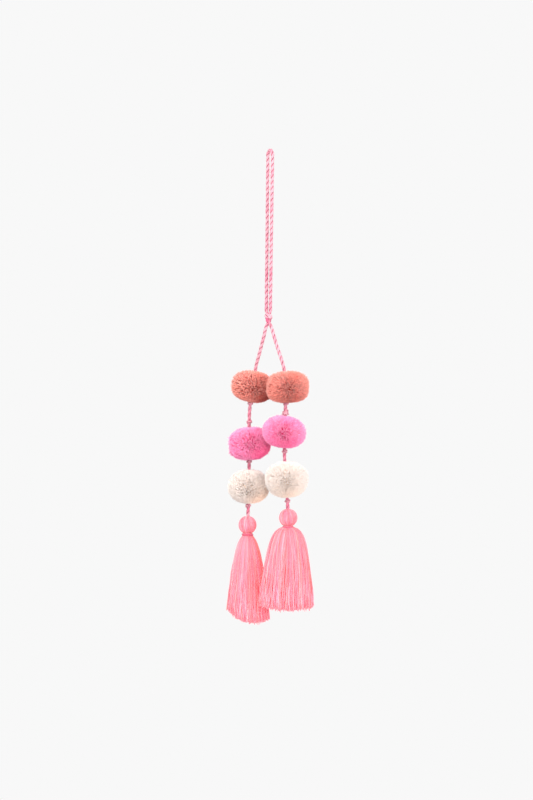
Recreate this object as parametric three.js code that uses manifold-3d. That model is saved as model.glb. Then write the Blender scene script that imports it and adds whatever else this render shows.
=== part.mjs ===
// Wrist charm: one twisted cord folded in two and tied into a wrist loop, whose two legs hang below
// the knot and each carry three pom-poms and a tassel.
// Millimetres, +Z up, -Y to the front. The origin is the underside of the cord at the top of the
// loop, where the charm hangs. The right leg hangs in front of the left one.

import * as THREE from 'three';
import { mergeVertices } from 'three/addons/utils/BufferGeometryUtils.js';
import Module from 'manifold-3d';

const wasm = await Module();
wasm.setup();

// Driving dimensions, in millimetres and degrees.
const CORD_DIAMETER = 2.6;
const CORD_RADIUS = CORD_DIAMETER / 2;
const CORD_SIDES = 8;
const CORD_STEP = 2.5 * CORD_DIAMETER;
const GAP = 0.3;

// Travel of each joint in the cord, which sets how far apart its two ends stay.
const LOOP_OPENING = 38;
const LEG_SPREAD = 60;
const STRAND_SWING = 35;
const LOWER_SPREAD = 25;
const SKIRT_SWAY = 20;

// Wrist loop: the fold at the top, then two runs down to the knot.
const FOLD_HALF_WIDTH = 1.85;
const FOLD_HALF_DEPTH = 3.8;
const FOLD_STEPS = 8;
const RUN_FOOT_Z = -127.6;
const RUN_FOOT_X = { left: -3.1, right: 0.1 };
const RUN_FOOT_Y = { left: 0.9, right: -0.9 };

// Overhand knot of both runs, with the two legs crossing below it.
const KNOT_CENTRE = [-1.5, 0, -131.7];
const KNOT_HALF = [3.3, 2.9, 2.9];
const CROSSING_CENTRE = [-1.35, 0, -136.2];
const CROSSING_HALF = [2.5, 2.2, 2.6];

// Pom-poms: rounded, slightly flat ends, a bore for the cord and a groove for the tie thread.
const POMPOM_ROUNDNESS = 2.3;
const POMPOM_SEGMENTS = 18;
const POMPOM_OUTLINE_POINTS = 9;
const POMPOM_BORE = 2.2;
const TIE_INNER = 2.0;
const TIE_OUTER = 3.1;
const TIE_HALF_HEIGHT = 0.6;

// Knots tied in the cord under and over the pom-poms.
const STOP_KNOT_BORE = 1.75;
const STOP_KNOT_SHOULDER = 2.1;

// Tassel: a round head on a narrow neck, bound by a wrap, over a flattened bell of threads.
const HEAD_RADIUS = 7.2;
const NECK_RADIUS = 4.2;
const NECK_LENGTH = 1.8;
const HEAD_BORE = 1.75;
const HEAD_POCKET_RADIUS = 3.3;
const END_KNOT_RADIUS = 2.7;
const END_KNOT_HALF_HEIGHT = 1.8;
const WRAP_OUTER = 5.1;
const WRAP_HALF_HEIGHT = 0.8;
const SKIRT_SEGMENTS = 24;
const SKIRT_RINGS = 9;
const SKIRT_BELL_POWER = 0.25;

const COLOURS = {
  cord: '#f0a4b2',
  knot: '#f7b6c2',
  coral: '#dd6c5e',
  pink: '#ff78ba',
  cream: '#f2e1d3',
  tassel: '#ff9cac',
  wrap: '#e8869a',
};

// The two strands. Each cord route is a list of points along the cord, from one joint to the next.
const STRANDS = {
  left: {
    legRoute: [
      [-3.3, 0.6, -140.2], [-5.2, 2.6, -148], [-8.3, 6.2, -160], [-11.2, 9.1, -170.6],
      [-12.1, 9.5, -176], [-13.9, 9.5, -187.7], [-15.7, 9.5, -199.4], [-16.7, 9.5, -210.5],
    ],
    middleRoute: [[-16.7, 9.5, -210.5], [-16.8, 9.5, -230.7], [-16.9, 9.5, -251]],
    lowerRoute: [[-16.9, 9.5, -251], [-17.3, 9.5, -269], [-17.7, 9.5, -287.2]],
    tasselRoute: [[-17.7, 9.5, -287.2], [-17.95, 9.5, -293.2], [-18.2, 9.5, -299.4]],
    coral: { centre: [-13.9, 9.5, -187.7], tilt: 8.8, radius: 15.8, halfHeight: 12.2 },
    pink: { centre: [-16.8, 9.5, -233.6], tilt: 0.3, radius: 16.2, halfHeight: 12.7 },
    cream: { centre: [-17.27, 9.5, -267.9], tilt: 1.2, radius: 15.9, halfHeight: 13 },
    knots: {
      coral_stop_knot: { at: [-15.95, 9.5, -201.3], tilt: 7, radius: 2.4, halfHeight: 1.2 },
      pink_top_knot: { at: [-16.73, 9.5, -216.2], tilt: 0.3, radius: 2.5, halfHeight: 1.4 },
      pink_stop_knot: { at: [-16.88, 9.5, -248], tilt: 0.3, radius: 2.4, halfHeight: 1.2 },
      cream_stop_knot: { at: [-17.61, 9.5, -283.2], tilt: 1.2, radius: 2.5, halfHeight: 1.3 },
    },
    headTop: [-18.2, 9.5, -292.2],
    neckZ: -306.6,
    skirt: {
      halfWidth: 17.2, halfDepth: 11, hemCentre: [-17.8, 9.5, -373.2], hemRise: 2.2, hemSlope: -0.26,
    },
  },
  right: {
    legRoute: [
      [0.9, -0.6, -140.2], [3.1, -2.6, -148], [6.9, -6.2, -160], [10.3, -9.1, -170.8],
      [11.35, -9.5, -176], [12, -9.5, -188.2], [12.65, -9.5, -200.2], [12.2, -9.5, -204.7],
    ],
    middleRoute: [[12.2, -9.5, -204.7], [11.8, -9.5, -224.1], [11.4, -9.5, -243.2]],
    lowerRoute: [[11.4, -9.5, -243.2], [12.6, -9.5, -262.4], [13.9, -9.5, -282.9]],
    tasselRoute: [[13.9, -9.5, -282.9], [14.1, -9.5, -287.6], [14.3, -9.5, -293.2]],
    coral: { centre: [12, -9.5, -188.2], tilt: -3, radius: 15.8, halfHeight: 12.2 },
    pink: { centre: [11.8, -9.5, -224.1], tilt: 1.2, radius: 16.2, halfHeight: 12.2 },
    cream: { centre: [12.6, -9.5, -262.2], tilt: -3.6, radius: 16.2, halfHeight: 13.8 },
    knots: {
      coral_stop_knot: { at: [12.65, -9.5, -201.7], tilt: 0, radius: 2.3, halfHeight: 1 },
      pink_top_knot: { at: [12.12, -9.5, -208.2], tilt: 1.2, radius: 2.6, halfHeight: 1.5 },
      pink_stop_knot: { at: [11.46, -9.5, -239.7], tilt: 1.2, radius: 2.5, halfHeight: 1.4 },
      cream_stop_knot: { at: [13.7, -9.5, -279.4], tilt: -3.6, radius: 2.5, halfHeight: 1.4 },
    },
    headTop: [14.3, -9.5, -286.2],
    neckZ: -300.2,
    skirt: {
      halfWidth: 21.8, halfDepth: 12, hemCentre: [12.6, -9.5, -364.8], hemRise: 1.2, hemSlope: -0.05,
    },
  },
};

const vector = (point) => new THREE.Vector3(...point);
const radians = THREE.MathUtils.degToRad;

// Half the distance that two cord ends keep at a joint, so that their rims clear at its full travel.
const endClearance = (travel) => CORD_RADIUS * Math.tan(radians(travel) / 2) + GAP;

// A cord tube along a route, each end drawn back from its joint.
function cordTube(route, startClearance, finalClearance) {
  const points = route.map(vector);
  const last = points.length - 1;
  const inwards = (from, to, distance) =>
    from.clone().add(to.clone().sub(from).setLength(distance));
  const first = inwards(points[0], points[1], startClearance);
  const final = inwards(points[last], points[last - 1], finalClearance);
  const through = [first, ...points.slice(1, last), final];
  const curve = new THREE.CatmullRomCurve3(through, false, 'centripetal');
  const section = new THREE.Shape();
  for (let side = 0; side < CORD_SIDES; side++) {
    const angle = (2 * Math.PI * side) / CORD_SIDES;
    const move = side ? 'lineTo' : 'moveTo';
    section[move](CORD_RADIUS * Math.cos(angle), CORD_RADIUS * Math.sin(angle));
  }
  const steps = Math.max(1, Math.ceil(curve.getLength() / CORD_STEP));
  return new THREE.ExtrudeGeometry(section, { steps, extrudePath: curve, curveSegments: 1 });
}

// A turned solid about +Z. The outline is a list of [radius, height] that goes up on the outside.
function turned(outline, segments) {
  const profile = outline.map(([radius, height]) => new THREE.Vector2(radius, height));
  return new THREE.LatheGeometry(profile, segments).rotateX(Math.PI / 2);
}

// A ring is a turned solid whose outline closes on itself.
const ring = (outline, segments) => turned([...outline, outline[0]], segments);

function toManifold(geometry) {
  const bare = geometry.clone();
  bare.deleteAttribute('normal');
  bare.deleteAttribute('uv');
  const merged = mergeVertices(bare, 1e-4);
  return new wasm.Manifold(new wasm.Mesh({
    numProp: 3,
    vertProperties: new Float32Array(merged.attributes.position.array),
    triVerts: new Uint32Array(merged.index.array),
  }));
}

function joined(geometries) {
  const solid = geometries.map(toManifold).reduce((whole, next) => whole.add(next));
  const mesh = solid.getMesh();
  const geometry = new THREE.BufferGeometry();
  geometry.setAttribute('position', new THREE.BufferAttribute(mesh.vertProperties, 3));
  geometry.setIndex(new THREE.BufferAttribute(mesh.triVerts, 1));
  return geometry;
}

function ellipsoid(centre, half) {
  return new THREE.SphereGeometry(1, 12, 8).scale(...half).translate(...centre);
}

// The fold at the top of the loop: half a turn of cord, its runs leaving straight down.
function foldCord() {
  const radius = Math.hypot(FOLD_HALF_WIDTH, FOLD_HALF_DEPTH);
  const centreZ = CORD_RADIUS - radius;
  const route = [];
  for (let step = 0; step <= FOLD_STEPS; step++) {
    const angle = (Math.PI * step) / FOLD_STEPS;
    const across = -Math.cos(angle);
    route.push([
      FOLD_HALF_WIDTH * across,
      -FOLD_HALF_DEPTH * across,
      centreZ + radius * Math.sin(angle),
    ]);
  }
  return cordTube(route, 0, 0);
}

const foldFootZ = CORD_RADIUS - Math.hypot(FOLD_HALF_WIDTH, FOLD_HALF_DEPTH);

// One run of the loop, cut in two at its middle joint.
function runPoints(side) {
  const sign = side === 'left' ? -1 : 1;
  const top = new THREE.Vector3(
    sign * FOLD_HALF_WIDTH,
    -sign * FOLD_HALF_DEPTH,
    foldFootZ - endClearance(LOOP_OPENING),
  );
  const foot = new THREE.Vector3(RUN_FOOT_X[side], RUN_FOOT_Y[side], RUN_FOOT_Z);
  const middle = top.clone().lerp(foot, 0.5);
  return [top, middle, foot].map((point) => point.toArray());
}

function loopKnot() {
  const stubs = ['left', 'right'].flatMap((side) => {
    const foot = [RUN_FOOT_X[side], RUN_FOOT_Y[side], RUN_FOOT_Z];
    const inKnot = [KNOT_CENTRE[0], KNOT_CENTRE[1], KNOT_CENTRE[2] + 0.4];
    const legStart = STRANDS[side].legRoute[0];
    const inCrossing = [CROSSING_CENTRE[0], CROSSING_CENTRE[1], CROSSING_CENTRE[2] + 0.6];
    return [
      cordTube([foot, inKnot], endClearance(LOOP_OPENING), 0),
      cordTube([inCrossing, legStart], 0, endClearance(LEG_SPREAD)),
    ];
  });
  return joined([
    ellipsoid(KNOT_CENTRE, KNOT_HALF),
    ellipsoid(CROSSING_CENTRE, CROSSING_HALF),
    ...stubs,
  ]);
}

// Outline of a pom-pom: the rounded outside going up, then down the bore and round the tie groove.
function pompomSolid({ radius, halfHeight }) {
  const outline = [];
  const power = 2 / POMPOM_ROUNDNESS;
  const edge = Math.acos((POMPOM_BORE / radius) ** (1 / power));
  for (let point = 0; point < POMPOM_OUTLINE_POINTS; point++) {
    const angle = edge * ((2 * point) / (POMPOM_OUTLINE_POINTS - 1) - 1);
    const height = halfHeight * Math.sign(angle) * Math.abs(Math.sin(angle)) ** power;
    outline.push([radius * Math.cos(angle) ** power, height]);
  }
  const grooveRadius = TIE_OUTER + GAP;
  const grooveHalf = TIE_HALF_HEIGHT + GAP;
  outline.push([POMPOM_BORE, grooveHalf], [grooveRadius, grooveHalf]);
  outline.push([grooveRadius, -grooveHalf], [POMPOM_BORE, -grooveHalf]);
  return ring(outline, POMPOM_SEGMENTS);
}

function tieThread() {
  return ring([
    [TIE_OUTER, -TIE_HALF_HEIGHT], [TIE_OUTER, TIE_HALF_HEIGHT],
    [TIE_INNER, TIE_HALF_HEIGHT], [TIE_INNER, -TIE_HALF_HEIGHT],
  ], POMPOM_SEGMENTS);
}

function stopKnot({ radius, halfHeight }) {
  return ring([
    [STOP_KNOT_SHOULDER, -halfHeight], [radius, -halfHeight / 3],
    [radius, halfHeight / 3], [STOP_KNOT_SHOULDER, halfHeight],
    [STOP_KNOT_BORE, halfHeight], [STOP_KNOT_BORE, -halfHeight],
  ], 12);
}

// The head: neck and ball outside, and a pocket inside for the knotted end of the cord.
function tasselHead(height) {
  const ballHalf = (height - NECK_LENGTH) / 2;
  const ballZ = -ballHalf;
  const neckFoot = -height;
  const pocketZ = ballZ - 0.2;
  const pocketHalf = END_KNOT_HALF_HEIGHT + GAP;
  const outline = [[0, neckFoot], [NECK_RADIUS, neckFoot]];
  for (const angle of [-56, -30, 0, 30, 56]) {
    const slope = radians(angle);
    outline.push([HEAD_RADIUS * Math.cos(slope), ballZ + ballHalf * Math.sin(slope)]);
  }
  const pocketTop = pocketZ + pocketHalf;
  const pocketFloor = pocketZ - pocketHalf;
  outline.push([HEAD_BORE, 0], [HEAD_BORE, pocketTop], [HEAD_POCKET_RADIUS, pocketTop]);
  outline.push([HEAD_POCKET_RADIUS, pocketFloor], [0, pocketFloor]);
  return turned(outline, 16);
}

// A ring round the end of the cord, inside the head.
function endKnot() {
  return ring([
    [END_KNOT_RADIUS - 0.5, -END_KNOT_HALF_HEIGHT], [END_KNOT_RADIUS, 0],
    [END_KNOT_RADIUS - 0.5, END_KNOT_HALF_HEIGHT], [STOP_KNOT_BORE, END_KNOT_HALF_HEIGHT],
    [STOP_KNOT_BORE, -END_KNOT_HALF_HEIGHT],
  ], 12);
}

function neckWrap() {
  const inner = NECK_RADIUS + GAP;
  return ring([
    [WRAP_OUTER - 0.2, -WRAP_HALF_HEIGHT], [WRAP_OUTER, 0], [WRAP_OUTER - 0.2, WRAP_HALF_HEIGHT],
    [inner, WRAP_HALF_HEIGHT], [inner, -WRAP_HALF_HEIGHT],
  ], 16);
}

// The bell of threads: oval sections from a shallow cone at the neck down to the slanted hem.
function skirtSolid(neck, { halfWidth, halfDepth, hemCentre, hemRise, hemSlope }) {
  const foot = vector(hemCentre);
  const length = neck.z - foot.z - hemRise;
  const coneSlope = Math.tan(radians(SKIRT_SWAY + 0.5));
  const positions = [neck.x, neck.y, neck.z];
  const bell = (drop) => (drop / length) ** SKIRT_BELL_POWER;
  const widthPerBell = halfWidth / length ** SKIRT_BELL_POWER;
  const shoulderDrop = (coneSlope * widthPerBell) ** (1 / (1 - SKIRT_BELL_POWER));
  for (let level = 0; level < SKIRT_RINGS; level++) {
    const share = level / (SKIRT_RINGS - 1);
    const drop = shoulderDrop + (length - shoulderDrop) * share ** 1.3;
    const middle = neck.clone().lerp(foot, drop / length);
    for (let segment = 0; segment < SKIRT_SEGMENTS; segment++) {
      const angle = (2 * Math.PI * segment) / SKIRT_SEGMENTS;
      const x = halfWidth * bell(drop) * Math.cos(angle);
      const y = halfDepth * bell(drop) * Math.sin(angle);
      positions.push(middle.x + x, neck.y + y, neck.z - drop + hemSlope * x * share ** 2);
    }
  }
  positions.push(foot.x, foot.y, foot.z);
  const ringStart = (level) => 1 + level * SKIRT_SEGMENTS;
  const hemPoint = ringStart(SKIRT_RINGS);
  const faces = [];
  for (let segment = 0; segment < SKIRT_SEGMENTS; segment++) {
    const next = (segment + 1) % SKIRT_SEGMENTS;
    faces.push(0, ringStart(0) + segment, ringStart(0) + next);
    for (let level = 0; level < SKIRT_RINGS - 1; level++) {
      const upper = ringStart(level);
      const lower = ringStart(level + 1);
      faces.push(upper + segment, lower + segment, lower + next);
      faces.push(upper + segment, lower + next, upper + next);
    }
    faces.push(hemPoint, ringStart(SKIRT_RINGS - 1) + next, ringStart(SKIRT_RINGS - 1) + segment);
  }
  const geometry = new THREE.BufferGeometry();
  geometry.setAttribute('position', new THREE.Float32BufferAttribute(positions, 3));
  geometry.setIndex(faces);
  return geometry;
}

const charm = new THREE.Group();

function addMesh(name, geometry, colour, { at = [0, 0, 0], tilt = 0 } = {}) {
  const material = new THREE.MeshStandardMaterial({ color: colour, roughness: 0.9, metalness: 0 });
  const mesh = new THREE.Mesh(geometry, material);
  mesh.name = name;
  mesh.position.set(...at);
  mesh.rotation.y = radians(tilt);
  charm.add(mesh);
}

addMesh('loop_cord_top', foldCord(), COLOURS.cord);
addMesh('loop_knot', loopKnot(), COLOURS.knot);

for (const [side, strand] of Object.entries(STRANDS)) {
  const [top, middle, foot] = runPoints(side);
  const atFold = endClearance(LOOP_OPENING);
  const atMiddle = endClearance(2 * LOOP_OPENING);
  const atSwing = endClearance(STRAND_SWING);
  const atSpread = endClearance(LOWER_SPREAD);
  addMesh(`loop_cord_${side}_upper`, cordTube([top, middle], atFold, atMiddle), COLOURS.cord);
  addMesh(`loop_cord_${side}_lower`, cordTube([middle, foot], atMiddle, atFold), COLOURS.cord);

  const atKnot = endClearance(LEG_SPREAD);
  addMesh(`${side}_leg_cord`, cordTube(strand.legRoute, atKnot, atSwing), COLOURS.cord);
  addMesh(`${side}_middle_cord`, cordTube(strand.middleRoute, atSwing, atSpread), COLOURS.cord);
  addMesh(`${side}_lower_cord`, cordTube(strand.lowerRoute, atSpread, atSwing), COLOURS.cord);
  addMesh(`${side}_tassel_cord`, cordTube(strand.tasselRoute, atSwing, 0), COLOURS.cord);

  for (const shade of ['coral', 'pink', 'cream']) {
    const { centre: at, tilt } = strand[shade];
    addMesh(`${side}_${shade}_pompom`, pompomSolid(strand[shade]), COLOURS[shade], { at, tilt });
    addMesh(`${side}_${shade}_tie`, tieThread(), COLOURS[shade], { at, tilt });
  }
  for (const [name, knot] of Object.entries(strand.knots)) {
    addMesh(`${side}_${name}`, stopKnot(knot), COLOURS.knot, knot);
  }

  const [headX, headY, headZ] = strand.headTop;
  const wrapAt = [headX, headY, strand.neckZ];
  const headHeight = headZ - strand.neckZ + WRAP_HALF_HEIGHT;
  const endKnotZ = headZ - (headHeight - NECK_LENGTH) / 2 - 0.2;
  addMesh(`${side}_tassel_head`, tasselHead(headHeight), COLOURS.tassel, { at: strand.headTop });
  addMesh(`${side}_end_knot`, endKnot(), COLOURS.knot, { at: [headX, headY, endKnotZ] });
  addMesh(`${side}_neck_wrap`, neckWrap(), COLOURS.wrap, { at: wrapAt });
  const neck = new THREE.Vector3(headX, headY, strand.neckZ - WRAP_HALF_HEIGHT - GAP);
  addMesh(`${side}_tassel_skirt`, skirtSolid(neck, strand.skirt), COLOURS.tassel);
}

export default charm;
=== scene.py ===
"""Wrist charm: a twisted-cord loop, six yarn pom-poms and two thread tassels, on the CAD part's frame.

Lengths are in metres unless a comment says millimetres. Each soft piece is a mesh of real fibres,
threads or plies, with its colour held in the point attribute "Tint" and its bake layout in the UV
layer "OFBake".
"""
import itertools
import math

import bpy
import numpy as np
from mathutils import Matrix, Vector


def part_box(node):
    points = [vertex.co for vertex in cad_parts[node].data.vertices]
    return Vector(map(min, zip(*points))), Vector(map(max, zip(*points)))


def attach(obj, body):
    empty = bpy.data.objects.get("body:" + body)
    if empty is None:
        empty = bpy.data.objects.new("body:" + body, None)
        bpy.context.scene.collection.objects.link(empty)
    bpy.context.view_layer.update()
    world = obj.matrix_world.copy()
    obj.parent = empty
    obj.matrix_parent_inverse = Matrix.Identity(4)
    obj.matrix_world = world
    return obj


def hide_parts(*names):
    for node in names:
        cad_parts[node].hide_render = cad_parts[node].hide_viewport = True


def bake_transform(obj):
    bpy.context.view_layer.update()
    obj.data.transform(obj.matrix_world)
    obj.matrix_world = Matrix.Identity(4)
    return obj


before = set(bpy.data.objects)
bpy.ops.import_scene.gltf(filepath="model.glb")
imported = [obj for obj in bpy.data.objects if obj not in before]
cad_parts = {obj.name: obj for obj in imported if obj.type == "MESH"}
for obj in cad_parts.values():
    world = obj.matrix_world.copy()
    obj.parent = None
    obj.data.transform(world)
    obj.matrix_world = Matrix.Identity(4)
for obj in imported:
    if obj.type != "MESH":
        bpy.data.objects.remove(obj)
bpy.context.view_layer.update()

MM = 0.001
TAU = 2 * math.pi
SIDES = ("left", "right")

# The first seed of each kind of piece. The next piece of its kind takes the next number.
SEEDS = {
    "loop": 20, "strand": 30, "loop_knot": 40, "stop_knot": 50, "pompom": 70, "head": 80,
    "binding": 90, "skirt": 100,
}
PLY_TONE_SEED = 20

# Cord: two plies laid round each other. Each ply is a bundle of yarns, whose ridges and grooves wind
# round it. Painted shade darkens its grooves, and the crease towards the other ply.
CORD_DIAMETER = 2.6 * MM
PLY_RADIUS = 0.70 * MM
PLY_OFFSET = 0.68 * MM
LAY_LENGTH = 9.2 * MM
CORD_STEP = 0.4 * MM
PLY_SIDES = 18
PLY_SWELL = 0.42
YARNS_IN_PLY = 6
YARN_SPIRAL = 2.6
YARN_RIDGE = 0.055
YARN_GROOVE_SHADE = 0.16
CREASE_FROM = 0.5
CREASE_WIDTH = 0.85
CREASE_SHADE_DEPTH = 0.85
TONE_WAVELENGTH = 34 * MM
# Unevenness of a ply: share of its radius, radians for each metre along it, and phase.
PLY_WAVES = [(0.05, 410, 0), (0.04, 1130, 1)]
# A tapered end starts at this share of full size, and is full size after this many steps.
TAPER_SIZE = 0.45
TAPER_STEPS = 5
SQUEEZED_BY = 0.4
FUZZ_PER_MM = 3.0
FUZZ_RADII = np.array([0.030, 0.024, 0.012]) * MM

# Wrist loop, as part.mjs has it: the fold, then two runs down to the knot.
FOLD_HALF_WIDTH = 1.85 * MM
FOLD_HALF_DEPTH = 3.8 * MM
FOLD_RADIUS = math.hypot(FOLD_HALF_WIDTH, FOLD_HALF_DEPTH)
FOLD_CENTRE_Z = CORD_DIAMETER / 2 - FOLD_RADIUS
HINGE_Z = -3.674 * MM
RUN_FOOT = {"left": (-0.0031, 0.0009, -0.1276), "right": (0.0001, -0.0009, -0.1276)}
RUN_MIDDLE_Z = -65.637 * MM
UPPER_CUT_Z = -33 * MM
LOWER_CUT_Z = -99 * MM
KNOT_CENTRE = (-0.0015, 0.0, -0.1317)
# Where each run ends inside the knot.
RUN_END = {
    "left": np.array(KNOT_CENTRE) + (0.0002, 0.0002, 0.0009),
    "right": np.add(RUN_FOOT["right"], (-0.0003, 0.0, -0.0026)),
}
# A half length listed with each piece of the loop at its hinge, and how much of the foot is squeezed
# by the knot.
FOLD_BEND = 3.2 * MM
ELBOW_BEND = 24 * MM
FOOT_BEND = 3.4 * MM
FOOT_SQUEEZE = 3.4 * MM

# The two strands: where each cord runs, and the joints along it, as part.mjs has them. The stretches
# "leg", "middle" and "lower" each end at the hinge of the next one.
STRANDS = {
    "left": {
        "crossing": [(0.0004, 0.0009, -0.1325), (-0.0014, 0.0010, -0.1362)],
        "leg": [
            (-0.0033, 0.0006, -0.1402), (-0.0052, 0.0026, -0.148), (-0.0083, 0.0062, -0.160),
            (-0.0112, 0.0091, -0.1706), (-0.0121, 0.0095, -0.176), (-0.0139, 0.0095, -0.1877),
            (-0.0157, 0.0095, -0.1994), (-0.0167, 0.0095, -0.2105),
        ],
        "middle": [(-0.0168, 0.0095, -0.2307), (-0.0169, 0.0095, -0.251)],
        "lower": [(-0.0173, 0.0095, -0.269), (-0.0177, 0.0095, -0.2872)],
        "tassel": [(-0.01795, 0.0095, -0.2932), (-0.0182, 0.0095, -0.2994)],
        "neck_z": -0.3066,
        "sway_hinge": (-0.0182, 0.0095, -0.3077),
    },
    "right": {
        "crossing": [(-0.0031, -0.0009, -0.1325), (-0.0012, -0.0010, -0.1362)],
        "leg": [
            (0.0009, -0.0006, -0.1402), (0.0031, -0.0026, -0.148), (0.0069, -0.0062, -0.160),
            (0.0103, -0.0091, -0.1708), (0.01135, -0.0095, -0.176), (0.012, -0.0095, -0.1882),
            (0.01265, -0.0095, -0.2002), (0.0122, -0.0095, -0.2047),
        ],
        "middle": [(0.0118, -0.0095, -0.2241), (0.0114, -0.0095, -0.2432)],
        "lower": [(0.0126, -0.0095, -0.2624), (0.0139, -0.0095, -0.2829)],
        "tassel": [(0.0141, -0.0095, -0.2876), (0.0143, -0.0095, -0.2932)],
        "neck_z": -0.3002,
        "sway_hinge": (0.0143, -0.0095, -0.3013),
    },
}
# The leg's piece ends at this point of its route, in the middle of the coral pom-pom.
LEG_CUT = 5
# How far into its twist a strand's cord starts, and how much rosier it is below the knot.
STRAND_TWIST = 2.1 * MM
STRAND_SHADE = 0.5
CROSSING_SHADE = 1.5
CROSSING_LENGTH = 11 * MM

# Fluff of each pom-pom, in millimetres: its middle, its half sizes, and its hub, the offset of the
# point that its fibres spread from. tilt is in degrees about the depth axis, power is its squareness,
# lean is its rise to the right, and mottle is how much its yarn ends differ in tone.
POMPOMS = {
    "left_coral": {
        "middle": (-14.0, 9.5, -187.9), "half": (17.3, 16.9, 12.3), "hub": (2.6, 0, -1.6),
        "tilt": 9, "power": 2.35, "lean": 0.02, "mottle": 0.12,
    },
    "right_coral": {
        "middle": (13.9, -9.5, -188.3), "half": (16.9, 16.9, 12.4), "hub": (1.8, 0, -1.8),
        "tilt": 1.5, "power": 2.75, "lean": 0.03, "mottle": 0.12,
    },
    "left_pink": {
        "middle": (-16.5, 9.5, -233.6), "half": (16.9, 17.0, 13.1), "hub": (1.6, 0, -1.0),
        "tilt": -1, "power": 2.4, "lean": 0.03, "mottle": 0.08,
    },
    "right_pink": {
        "middle": (11.0, -9.5, -224.1), "half": (17.0, 17.0, 12.7), "hub": (-0.6, 0, -1.2),
        "tilt": 2, "power": 2.3, "lean": -0.04, "mottle": 0.07,
    },
    "left_cream": {
        "middle": (-17.1, 9.5, -268.0), "half": (16.4, 16.4, 13.4), "hub": (0.6, 0, -3.4),
        "tilt": 2, "power": 2.25, "lean": 0.02, "mottle": 0.03,
    },
    "right_cream": {
        "middle": (13.0, -9.5, -262.0), "half": (16.9, 16.8, 14.4), "hub": (0.2, 0, -3.8),
        "tilt": -2, "power": 2.2, "lean": 0, "mottle": 0.03,
    },
}
YARN_ENDS = 4000
FIBRES_PER_YARN = 3
GOLDEN_TURN = 0.6180339887
# How much yarn ends differ in direction, length and lean, and how much a short one lacks.
END_JITTER = 0.022
END_UNEVEN = 0.014
END_LEAN = 0.012
SHORT_BY = 0.1
LUMP_HEIGHT = 0.016
LUMP_SIZE = 0.9
FIBRE_UNEVEN = 0.016
# Fibres that stand out past the fluff: their share, and how far they stand out.
STRAY_SHARE = 0.02
STRAY_REACH = (0.01, 0.045)
# Where a fibre starts and where it bends, as shares of the way out to the surface.
ROOT_AT = 0.62
KNEE_AT = 0.78
SHOULDER_AT = 0.55
FIBRE_BOW = 0.25 * MM
FIBRE_RADII = np.array([0.27, 0.25, 0.17])
# Painted shade on the tips, where it falls and how much: low in front, and on the left towards the
# right.
PAINTED_SHADE_SIDE = {"left": (0.8, -0.35, -0.6), "right": (0.1, -0.35, -0.6)}
PAINTED_SHADE_STRENGTH = {"left": 0.8, "right": 0.45}
CORE_SIZE = 0.74

# Skirts of the tassels. hem is the middle of the hem, slope and rise give the line of the hem, and a
# smaller flare is a fuller shoulder.
SKIRTS = {
    "left": {
        "half_width": 17.4 * MM, "half_depth": 11 * MM, "hem": (-17.8 * MM, 9.5 * MM, -375.6 * MM),
        "slope": -0.21, "rise": 6.2 * MM, "flare": 0.36,
    },
    "right": {
        "half_width": 22 * MM, "half_depth": 12 * MM, "hem": (12.6 * MM, -9.5 * MM, -365.4 * MM),
        "slope": -0.03, "rise": 3.2 * MM, "flare": 0.25,
    },
}
# Threads of a skirt, from the outside in: how many, between which shares of its size they hang, and
# how much darker or lighter they are, as painted shade on the inner layers.
SKIRT_LAYERS = [
    (370, 0.94, 1.0, 0.0), (350, 0.84, 0.96, -0.03), (300, 0.55, 0.86, -0.03), (200, 0.1, 0.6, -0.06),
]
SKIRT_RINGS = 16
SKIRT_LOCKS = 34
NECK_RADIUS = 3.5 * MM
NECK_CLIMB = 1.6 * MM

# Heads of the tassels: threads from top to neck. Each layer gives how many, and in millimetres how
# far outside the radius and how thick at most, and how much they slant.
HEAD_RADIUS = 7.2 * MM
HEAD_HALF_HEIGHT = 7.1 * MM
HEAD_CORE_RADIUS = 6.55 * MM
HEAD_SPAN = (80, -60)  # degrees up from the ball's middle, at a thread's top and at the neck
HEAD_RINGS = 26
HEAD_NECK_RINGS = 4
HEAD_NECK_RADIUS = 3.55 * MM
HEAD_LAYERS = [(88, -0.35, 0.36, 0.3), (30, -0.08, 0.25, 0.7)]

# Binding round the neck, in turns of one thread.
BINDING_TURNS = 3.4
BINDING_RINGS = 120
BINDING_THREAD = 0.33 * MM
BINDING_HALF_HEIGHT = 0.75 * MM


# ---- colour

def linear(code):
    """Linear RGB of a #rrggbb colour."""
    parts = np.array([int(code[i:i + 2], 16) for i in (1, 3, 5)]) / 255
    return np.where(parts <= 0.04045, parts / 12.92, ((parts + 0.055) / 1.055) ** 2.4)


def yarn_of(tints, fibre, spread, short):
    """A yarn: the colours of its root, which stands for the painted shade in the gaps, its middle, its
    tip, and its tip in painted shade, its fibres' thickness, how far they fan out, and the share of ends
    cut short."""
    yarn = {"fibre": fibre, "spread": spread, "short": short}
    for place, code in zip(("gap_shade", "mid", "tip", "painted_shade"), tints):
        yarn[place] = linear(code)
    return yarn


# Each root colour paints the shade in the gaps between the yarn ends; for coral and pink it is deeper
# than the tip.
YARNS = {
    "coral": yarn_of(("#B02214", "#D04836", "#EA988A", "#A41C0C"), 0.95, 0.009, 0.3),
    "pink": yarn_of(("#FF2C7C", "#FF5298", "#FF9BC6", "#FF4A8C"), 1.0, 0.0095, 0.26),
    "cream": yarn_of(("#FFE8D4", "#FFEADC", "#E5DBD5", "#FFE0C8"), 0.98, 0.016, 0.08),
}
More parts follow.
